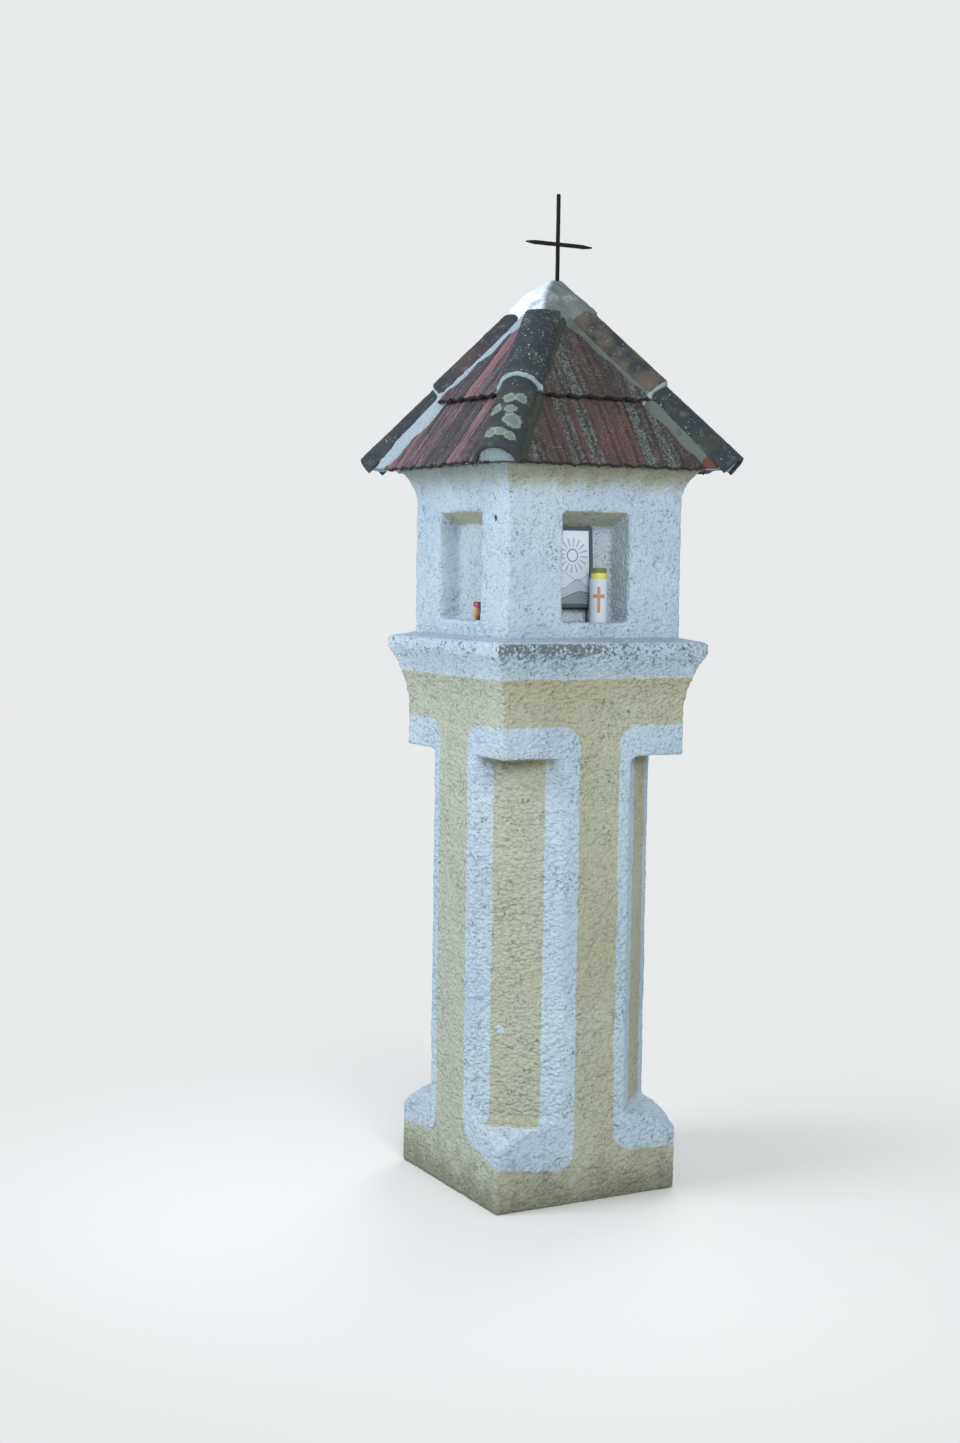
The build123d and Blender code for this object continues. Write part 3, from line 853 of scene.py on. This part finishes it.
def tile_mesh(length):
    """One ribbed tile, lying along +Y with its chipped lower edge at Y = 0."""
    ys = np.concatenate(([0, 0.004], np.linspace(0.014, length, int(length / row_length))))
    xs = np.linspace(0, tile_ribs * rib_pitch - tile_gap, tile_ribs * rib_faces + 1)
    chips = 0.0022 * np.sin(xs * 95) + 0.0018 * np.sin(xs * 231 + 1)
    fade = np.clip(1 - ys / 0.02, 0, 1)
    base = tile_thickness + tile_lift
    points = [(x, y + c * g, rib_height(x) + base) for y, g in zip(ys, fade) for x, c in zip(xs, chips)]
    points += [(x, y, z - tile_thickness) for x, y, z in points]

    row, count = len(xs), len(xs) * len(ys)
    top = [range(start, start + row) for start in range(0, count, row)]
    under = [range(start, start + row) for start in range(count, 2 * count, row)]
    left, right = range(0, count, row), range(row - 1, count, row)
    faces = strip(under[0], top[0]) + strip(top[-1], under[-1])
    faces += strip(left, [v + count for v in left]) + strip([v + count for v in right], right)
    for k in range(len(ys) - 1):
        faces += strip(top[k], top[k + 1]) + strip(under[k + 1], under[k])
    mesh = bpy.data.meshes.new("tile")
    mesh.from_pydata(points, [], faces)
    mesh.update()
    layer = mesh.attributes.new("edge", "FLOAT", "POINT")
    layer.data.foreach_set("value", [1.0 if v % count < row else 0.0 for v in range(2 * count)])
    return mesh


def course_tree():
    """A row of tiles, each laid a little out of true, with a tone of its own."""
    tree = Tree("tile_course")
    tile, count, pitch, start, seed, shift, lean, material = tree.inputs(
        tile="Object", count=4, pitch=0.228, start=0.0, seed=1, shift=0.004, lean=0.012, material="Material"
    )
    first, step = tree.vector(start), tree.vector(pitch)
    row = tree.out("GeometryNodeMeshLine", {"Count": count, "Start Location": first, "Offset": step})
    points = tree.out("GeometryNodeMeshToPoints", {"Mesh": row})
    jitter = tree.scattered(tree.vector(0, shift * -1.0), tree.vector(0, shift, shift * 0.5), seed)
    points = tree.out("GeometryNodeSetPosition", {"Geometry": points, "Offset": jitter})
    turn_high = tree.vector(lean * 0.6, 0, lean * 0.5)
    turn = tree.scattered(tree.vector(0, 0, lean * -0.5), turn_high, seed)
    shape = tree.out("GeometryNodeObjectInfo", {"Object": tile}, "Geometry")
    laid = {"Points": points, "Instance": shape, "Rotation": turn}
    laid = tree.out("GeometryNodeInstanceOnPoints", laid)
    tone = tree.out("FunctionNodeRandomValue", {"Seed": seed + 7.0}, 1, data_type="FLOAT")
    toned = {"Geometry": laid, "Name": "tone", "Value": tone}
    toned = tree.out("GeometryNodeStoreNamedAttribute", toned, data_type="FLOAT", domain="INSTANCE")
    return tree.end(toned, material)


def weather_tree():
    """A slightly uneven skin on clay, mortar and iron."""
    tree = Tree("weathering")
    depth, size, seed, material = tree.inputs(depth=0.001, size=0.02, seed=1.0, material="Material")
    skin = tree.noise(size, 3.0, seed, output=1)
    centred = tree.vector_math("SUBTRACT", {0: skin, 1: (0.5, 0.5, 0.5)})
    offset = tree.vector_math("SCALE", {0: centred, "Scale": depth * 4.0})
    return tree.end(tree.moved(offset), material)


def note_ribs(piece, start, seed):
    """Stores how deep in a groove each point lies, and how much lichen its rib carries."""
    points = places(piece.data)
    x = points[:, 0]
    rib = np.floor((x - start) / rib_pitch).astype(int)
    phase = (x - start) / rib_pitch - rib
    groove = np.exp(-(((phase - 0.64) / 0.09) ** 2))
    groove = groove + 0.7 * np.exp(-((np.minimum(phase, 1 - phase) / 0.08) ** 2))
    most = 60
    dice = np.random.default_rng(seed)
    amount = dice.uniform(0.0, 0.62, most)
    centre = dice.uniform(0.2, 0.8, most)
    rib = np.clip(rib, 0, most - 1)
    band = amount[rib] * np.exp(-(((phase - centre[rib]) / 0.34) ** 2))
    point_values(piece, "rib", dice.uniform(0.0, 1.0, most)[rib])
    point_values(piece, "across", x)
    point_values(piece, "up_slope", points[:, 1])
    point_values(piece, "groove", groove)
    point_values(piece, "band", band)


def trim(piece, point, normal):
    """Cuts away what lies beyond a plane and closes the cut."""
    body = bmesh.new()
    body.from_mesh(piece.data)
    rim = cut_away(body, point, normal)
    bmesh.ops.edgeloop_fill(body, edges=[e for e in rim if e.is_boundary])
    body.to_mesh(piece.data)
    body.free()


def tile_courses(row, weather):
    """Both courses of tiles on the four slopes."""
    clays = {
        "front": (tint(56, 50, 50), tint(90, 62, 62), 0.58, 0.50),
        "right": (tint(66, 54, 53), tint(100, 74, 72), 0.38, 0.50),
        "back": (tint(64, 54, 52), tint(92, 70, 68), 0.42, 0.50),
        "left": (tint(60, 57, 68), tint(128, 98, 107), 0.26, 0.62),
    }
    courses = (
        ("lower", -eaves_overhang, course_gauge + course_lap, 0.0),
        ("upper", upper_start, slope_length - upper_start + upper_tuck, upper_lift),
    )
    width = tile_ribs * rib_pitch
    for level, (course, start, length, lift) in enumerate(courses):
        tile = object_from("tile_" + course, tile_mesh(length))
        count = ceil((roof_half - start * slope_run) / width) * 2 + 1
        offset = -0.5 * count * width + course_shift * level
        lean = Matrix.Rotation(-lift / length, 4, "X")
        place = slope_matrix() @ Matrix.Translation((0, start, lift)) @ lean
        for number, (side, angle) in enumerate(SIDES.items()):
            name = f"tiles_{side}_{course}"
            low, high, crust, groove = clays[side]
            seed = number * 3 + level * 6 + 5
            crust += level * 0.04
            finish = roof_tile_finish(name + "_fired", low, high, crust, groove, float(seed))
            piece = object_from(name + "_clay", bpy.data.meshes.new(name))
            row.use(piece, tile=tile, count=count, pitch=width, start=offset, seed=seed, material=finish)
            settle(piece)
            note_ribs(piece, offset, seed)
            piece.data.transform(place)
            weather.use(piece, depth=0.0016, size=0.03, seed=float(number), material=finish)
            settle(piece)
            for x in (-1, 1):
                outwards = Vector((x, 1, 0)).normalized()
                trim(piece, outwards * (tile_cut - mortar_half), outwards)
            trim(piece, (0, 0, roof_cut), (0, 0, 1))
            piece.data.transform(turned_matrix(angle))
            finish_piece(piece, "roof_tile", name)
        bpy.data.objects.remove(tile)


def weathered(weather, name, node, slot, finish, voxel, depth, size, seed, rounding=0, extra=()):
    """A piece with the form of a CAD node, and a worn skin."""
    piece = joined_copy(name, [node])
    for mesh in extra:
        add_mesh(piece, mesh)
    remesh(piece, voxel, rounding)
    weather.use(piece, depth=depth, size=size, seed=seed, material=finish)
    settle(piece)
    keep_in_box(piece)
    finish_piece(piece, slot, node)


def hip_matrix(corner):
    """From a hip's own frame (across, up the hip, outwards) to the part's."""
    along = Vector((-roof_half, roof_half, roof_apex - eaves)).normalized()
    own = frame_at((roof_half, -roof_half, eaves), Vector((1, 1, 0)).normalized(), along)
    return turned_matrix(CORNERS[corner]) @ own


def round_hip(radius, place, turn):
    """A point at some place up a hip, at a radius and a turn from its crest."""
    return (radius * sin(turn), place, radius * cos(turn))


def on_hip(corner, place, degrees_over, radius=0.072):
    """A place on a hip tile: how far up the hip, and how far round from its crest."""
    return tuple(hip_matrix(corner) @ Vector(round_hip(radius, place, radians(degrees_over))))


def upper_hip_start():
    """How far up the hip the upper hip tile's mouth lies."""
    back = hip_matrix("front_right").inverted()
    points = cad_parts["hip_tile_front_right_upper"].data.vertices
    return min((back @ v.co).y for v in points)


def half_ring(corner, section):
    """A closed half ring over a hip, from (distance up the hip, radius) corners."""
    turns = [pi * (k / ring_steps - 0.5) for k in range(ring_steps + 1)]
    mesh = lofted([[round_hip(radius, place, turn) for place, radius in section] for turn in turns])
    mesh.transform(hip_matrix(corner))
    return mesh


def tile_top(place, across):
    """How high the roof tiles stand in a hip's frame, at a place up and across it."""
    level = place * hip_rise - across * hip_rise * sqrt(1 - hip_rise * hip_rise)
    distance = level / slope_rise
    cover = tile_thickness + tile_stand
    if distance > upper_start:
        share = (distance - upper_start) / (slope_length - upper_start)
        cover += upper_lift * max(0.0, 1 - share)
    return cover * sqrt(1 + hip_rise * hip_rise) - hip_rise * across


def bed_fillet(corner, side, joint, reach, climb):
    """Mortar spread from a hip tile's flank, where it climbs, over the cut edges of the roof tiles."""
    rings = []
    for place in np.linspace(bed_start, hip_top + 0.01, bed_stations):
        edge = max(tile_top(place + d, reach) for d in (-0.012, 0.0, 0.012))
        middle = (edge + 0.010 + tile_top(place, 0.068)) / 2
        low = tile_top(place, reach) - bed_depth
        high = climb if place < joint else climb * 0.3
        flank = sqrt(bed_radius**2 - high**2) - bed_taper * place / hip_top
        spread = ((flank, high), (mortar_half, max(middle, edge + 0.004)), (reach, edge))
        outline = ((bed_inner, high), *spread, (reach, low), (bed_inner, low))
        rings.append([(side * x, place, z) for x, z in outline])
    mesh = lofted(rings)
    mesh.transform(hip_matrix(corner))
    return mesh


def hips(weather):
    """Half-round tiles and their mortar on the four hips."""
    # For the upper and the lower tile: clay, share of soot, share of specks
    tiles = {
        "front_left": ((tint(56, 62, 66), 0.62, 0.04), (tint(62, 62, 54), 0.60, 0.0)),
        "front_right": ((tint(88, 82, 74), 0.46, -0.02), (tint(56, 62, 56), 0.58, 0.0)),
        "back_left": ((tint(72, 62, 66), 0.50, 0.0), (tint(58, 64, 68), 0.56, 0.0)),
        "back_right": ((tint(88, 74, 68), 0.48, 0.02), (tint(70, 66, 62), 0.52, 0.03)),
    }
    # Pale and dark tone, dirt, and how far the mortar reaches and climbs
    beds = {
        "front_left": (tint(58, 64, 56), tint(42, 46, 40), 0.06, 0.080, 0.002),
        "front_right": (tint(92, 101, 99), tint(66, 74, 70), 0.02, 0.081, 0.006),
        "back_left": (tint(146, 162, 174), tint(108, 120, 126), -0.02, 0.081, 0.014),
        "back_right": (tint(134, 144, 144), tint(92, 100, 96), 0.0, 0.082, 0.010),
    }
    # Lichen on the lower tile at the front left: distance up the hip, degrees from its crest, radius
    lichen = (
        (0.226, 2, 0.024), (0.240, 34, 0.024), (0.172, -30, 0.026), (0.172, 14, 0.021),
        (0.118, 27, 0.034), (0.046, -16, 0.025), (0.050, 8, 0.021), (0.040, 33, 0.022),
    )
    joint = upper_hip_start()
    low, high = joint - 0.011, joint + 0.006
    ring = ((low, 0.058), (low, 0.067), (joint - 0.004, 0.075), (high, 0.076), (high, 0.058))
    for number, corner in enumerate(CORNERS):
        for course, (clay, soot, specks) in zip(("upper", "lower"), tiles[corner]):
            name = f"hip_tile_{corner}_{course}"
            seed = number * 7.0 + (3.0 if course == "upper" else 0.0)
            rosettes = ()
            if name == "hip_tile_front_left_lower":
                rosettes = [(on_hip(corner, up, over), radius) for up, over, radius in lichen]
            finish = hip_tile_finish(name + "_fired", clay, soot, specks, seed, rosettes)
            skin = (hip_tile_voxel, 0.0012, 0.03, seed)
            weathered(weather, name + "_clay", name, "hip_tile", finish, *skin)
        name = f"hip_mortar_{corner}"
        pale, dark, dirt, reach, climb = beds[corner]
        finish = mortar_finish(name + "_grain", pale, dark, dirt, number * 5.0, corner, joint)
        extra = [half_ring(corner, ring)]
        extra += [bed_fillet(corner, side, joint, reach, climb) for side in (-1, 1)]
        skin = (bed_voxel, 0.0018, 0.025, number + 0.5, bed_rounding)
        weathered(weather, name + "_bed", name, "mortar", finish, *skin, extra)


def crown(weather):
    """The mortar cap, with its collars over the hips, and the iron cross."""
    finish = mortar_finish("cap_mortar", mortar_white, tint(176, 190, 202), -0.04, 3.0)
    low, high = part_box("apex_cap")
    half = (high.x - low.x) / 2
    skirt = ((roof_cut - 0.034, half + 0.004), (roof_cut + 0.02, half - 0.014))
    extra = [square_block(skirt, (low.x + high.x) / 2)]
    for corner in CORNERS:
        start = -0.004 if corner == "front_left" else -0.05
        end = (0.118, 0.046) if corner.endswith("right") else (0.135, 0.034)
        outer = ((start, 0.050), (start, 0.0635), (0.022, 0.0665), (0.05, 0.060), end)
        collar = (*outer, (end[0], 0.01), (0.03, 0.01))
        extra.append(half_ring(corner, [(hip_top + place, radius) for place, radius in collar]))
    skin = (cap_voxel, 0.003, 0.05, 4.0, cap_rounding)
    weathered(weather, "apex_cap_mortar", "apex_cap", "mortar", finish, *skin, extra)
    iron = plain_finish("wrought_iron", iron_black, 0.8, 0.3, 0.012, 0.25, 0.0006)
    for name, node, seed in (("cross_bar", "cross_upright", 5.0), ("cross_bar_arm", "cross_arm", 6.0)):
        weathered(weather, name, node, "iron", iron, iron_voxel, 0.0005, 0.03, seed, 1)


# Goods in the niches


def print_finish():
    """A plain grey print of hills under a rayed sun, behind clear plastic."""
    f = Finish("print", roughness=0.35)
    low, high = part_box("picture_panel")
    width, height = high.x - low.x, high.z - low.z
    across = (f.x - low.x) / width
    up = (f.z - low.z) / height
    f.base = f.mix(up, tint(170, 184, 196), tint(200, 214, 226))

    dx = across - 0.56
    dy = (up - 0.66) * (height / width)
    distance = f.root(dx * dx + dy * dy)
    rays = f.math("SINE", f.math("ARCTAN2", dx, dy) * 16.0)
    rays = f.rise(rays, 0.45, 0.75) * f.between(distance, 0.20, 0.40, 0.01)
    f.coat(rays * 0.55, tint(84, 98, 112))
    ring = f.between(distance, 0.125, 0.150, 0.004)
    f.coat(ring * 0.8, tint(62, 72, 84))

    hills = (
        (0.40, 0.07, 6.0, 0.5, tint(176, 190, 202)),
        (0.27, 0.06, 8.0, 2.4, tint(142, 156, 168)),
        (0.12, 0.05, 5.0, 4.0, tint(84, 96, 106)),
    )
    for level, swell, pitch, start, tone in hills:
        crest = f.math("SINE", across * pitch + start) * swell + level
        below = crest - up
        f.coat(f.rise(below, -0.004, 0.004) * 0.85, tone)
        stroke = f.math("SINE", (below + across * 0.3) * 170.0)
        stroke = f.rise(stroke, 0.2, 0.8) * f.rise(below, 0.004, 0.012)
        f.coat(stroke * 0.3, tint(206, 216, 226))
        f.coat(f.between(below, 0.0, 0.008, 0.003) * 0.7, tint(52, 62, 72))
    return f.done()


def jar_finish():
    """A white plastic jar with a plain brown and orange cross on it."""
    f = Finish("jar_plastic", roughness=0.3)
    low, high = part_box("candle_jar")
    centre = (low + high) / 2
    facing = radians(-28)
    x, y = f.x - centre.x, f.y - centre.y
    off = abs(x * cos(facing) + y * sin(facing))
    near = f.rise(x * sin(facing) - y * cos(facing), 0.0, 0.004)
    up = f.z - low.z
    f.base = f.mix(f.noise(0.03, seed=1.0), tint(178, 190, 202), tint(190, 201, 212))
    # Post and arm of each cross: half width outside and inside the soft edge, foot and head
    brown = ((0.0058, 0.0046, 0.034, 0.122), (0.0200, 0.0186, 0.084, 0.096))
    orange = ((0.0030, 0.0020, 0.038, 0.118), (0.0172, 0.0160, 0.0872, 0.0928))
    for bars, share, tone in ((brown, 0.8, tint(128, 84, 58)), (orange, 0.75, tint(196, 134, 72))):
        post, arm = [
            f.rise(off, outer, inner) * f.between(up, foot, head, 0.001)
            for outer, inner, foot, head in bars
        ]
        f.coat(f.highest(post, arm) * near * share, tone)
    return f.done(f.noise(0.02, seed=2.0), 0.0003)


def lid_finish():
    """A golden metal lid, dull and olive towards its top."""
    f = Finish("lid_gold", roughness=0.38)
    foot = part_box("candle_lid")[0].z
    level = f.noise(0.012, seed=4.0) * 0.010 + f.z
    dull = f.rise(level, foot + 0.020, foot + 0.026)
    f.base = f.mix(dull, tint(200, 198, 84), tint(104, 110, 70))
    return f.done(f.noise(0.006, seed=5.0), 0.0006)


def egg_finish():
    """A yellow egg with a pink and brown patch, under a red blossom with a dark middle."""
    f = Finish("egg_paint", roughness=0.45)
    low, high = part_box("ornament")
    patch = f.rise(f.noise(0.014, seed=3.0) * 0.02 - f.y, 0.082, 0.094)
    f.base = f.mix(patch, tint(170, 160, 70), tint(150, 104, 88))
    under = f.rise(f.y * -0.35 + f.z, low.z + 0.045, low.z + 0.030)
    f.coat(under * patch * 0.8, tint(58, 46, 44))
    flower = f.rise(f.z, low.z + 0.042, low.z + 0.046)
    petals = f.mix(f.rise(f.noise(0.010, seed=6.0), 0.46, 0.56), tint(150, 44, 76), tint(196, 104, 128))
    petals = f.mix(f.rise(f.z, high.z - 0.006, high.z - 0.002), petals, tint(60, 36, 48))
    f.coat(flower, petals)
    return f.done(f.noise(0.006, seed=8.0), 0.0006)


def goods():
    """Finishes for the pieces that keep their CAD shape: the goods and the roof's core."""
    finishes = {
        "roof_core": mortar_finish("core_mortar", tint(172, 184, 192), tint(132, 142, 146), 0.0, 9.0),
        "picture_frame": plain_finish("frame_paint", tint(72, 86, 92), 0.5),
        "picture_panel": print_finish(),
        "picture_stand": plain_finish("black_wire", tint(34, 36, 38), 0.45),
        "candle_jar": jar_finish(),
        "candle_lid": lid_finish(),
        "ornament": egg_finish(),
    }
    for node, finish in finishes.items():
        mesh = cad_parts[node].data
        mesh.materials.clear()
        mesh.materials.append(finish)


# Stage


def stage():
    """A pale floor, soft light and the photograph's viewpoint."""
    scene = bpy.context.scene
    scene.view_settings.view_transform = "Standard"
    floor_mesh = bpy.data.meshes.new("floor")
    reach = 60.0
    corners = [(-reach, -reach, 0), (reach, -reach, 0), (reach, reach, 0), (-reach, reach, 0)]
    floor_mesh.from_pydata(corners, [], [(0, 1, 2, 3)])
    floor = object_from("floor", floor_mesh)
    floor_mesh.materials.append(floor_finish())

    scene.world = bpy.data.worlds.new("studio")
    scene.world.use_nodes = True
    sky = Graph(scene.world.node_tree)
    sky.nodes.clear()
    light = sky.out("ShaderNodeBackground", {"Color": (0.93, 0.97, 1.0), "Strength": sky_strength})
    seen = sky.out("ShaderNodeBackground", {"Color": backdrop, "Strength": 1.0})
    blend = sky.out("ShaderNodeMixShader", {0: seen_directly(sky), 1: light, 2: seen})
    sky.add("ShaderNodeOutputWorld", {0: blend})

    lamp("sky_left", (-5.75, 0.8, 4.6), (0, 0, 1.5), 3.0, 300, (0.96, 0.98, 1.0))
    lamp("sky_front", (-2.0, -6.2, 4.4), (0, 0, 1.4), 3.0, 322, (1.0, 0.99, 0.97))
    lamp("sky_back", (4.5, 4.5, 4.0), (0, 0, 1.6), 4.0, 220, (1.0, 0.98, 0.94))
    camera()


def seen_directly(graph):
    """1 for what the camera sees, straight or in a gloss, and 0 for the light itself."""
    straight = graph.out("ShaderNodeLightPath", output="Is Camera Ray")
    gloss = graph.out("ShaderNodeLightPath", output="Is Glossy Ray")
    return graph.highest(straight, gloss)


def floor_finish():
    """The floor: the backdrop's own colour away from the object, real shadow near it."""
    f = Finish("pale_floor", roughness=0.95)
    share = f.rise(f.root(f.x * f.x + f.y * f.y), *floor_fade) * seen_directly(f)
    glow = f.out("ShaderNodeEmission", {"Color": backdrop})
    lit = Value(f, f.surface.outputs[0])
    blend = f.out("ShaderNodeMixShader", {0: share, 1: lit, 2: glow})
    f.feed(f.nodes["Material Output"].inputs["Surface"], blend)
    f.base = tuple(c * floor_tone for c in backdrop)
    return f.done()


def lamp(name, place, target, size, power, colour):
    """A large soft lamp that looks at a point."""
    data = bpy.data.lights.new(name, "AREA")
    data.shape = "SQUARE"
    data.size = size
    data.energy = power
    data.color = colour
    light = object_from(name, data)
    light.location = place
    light.rotation_mode = "QUATERNION"
    light.rotation_quaternion = (Vector(target) - Vector(place)).to_track_quat("-Z", "Y")


def camera():
    """The camera, solved from the pillar's edges in the photograph."""
    azimuth, pitch, roll = radians(-30.247), radians(4.3185), radians(0.828)
    distance, height, turn = 6.997, 2.1683, 0.0321
    focal_pixels, image_height = 1966.669, 1443
    heading = azimuth + turn
    ahead = Vector((-sin(heading), cos(heading), 0)) * cos(pitch) - Vector((0, 0, sin(pitch)))
    right = ahead.cross(Vector((0, 0, 1))).normalized()
    up = right.cross(ahead)
    right, up = right * cos(roll) + up * sin(roll), up * cos(roll) - right * sin(roll)
    data = bpy.data.cameras.new("viewpoint")
    data.sensor_width = 36.0
    data.lens = focal_pixels / image_height * data.sensor_width
    data.clip_end = 300.0
    eye = object_from("viewpoint", data)
    turned = Matrix((right, up, -ahead)).transposed().to_4x4()
    place = Vector((distance * sin(azimuth), -distance * cos(azimuth), height))
    eye.matrix_world = Matrix.Translation(place) @ turned
    bpy.context.scene.camera = eye


masonry(rough_cast_tree(), rough_cast_finish())
weather = weather_tree()
tile_courses(course_tree(), weather)
hips(weather)
crown(weather)
goods()
stage()
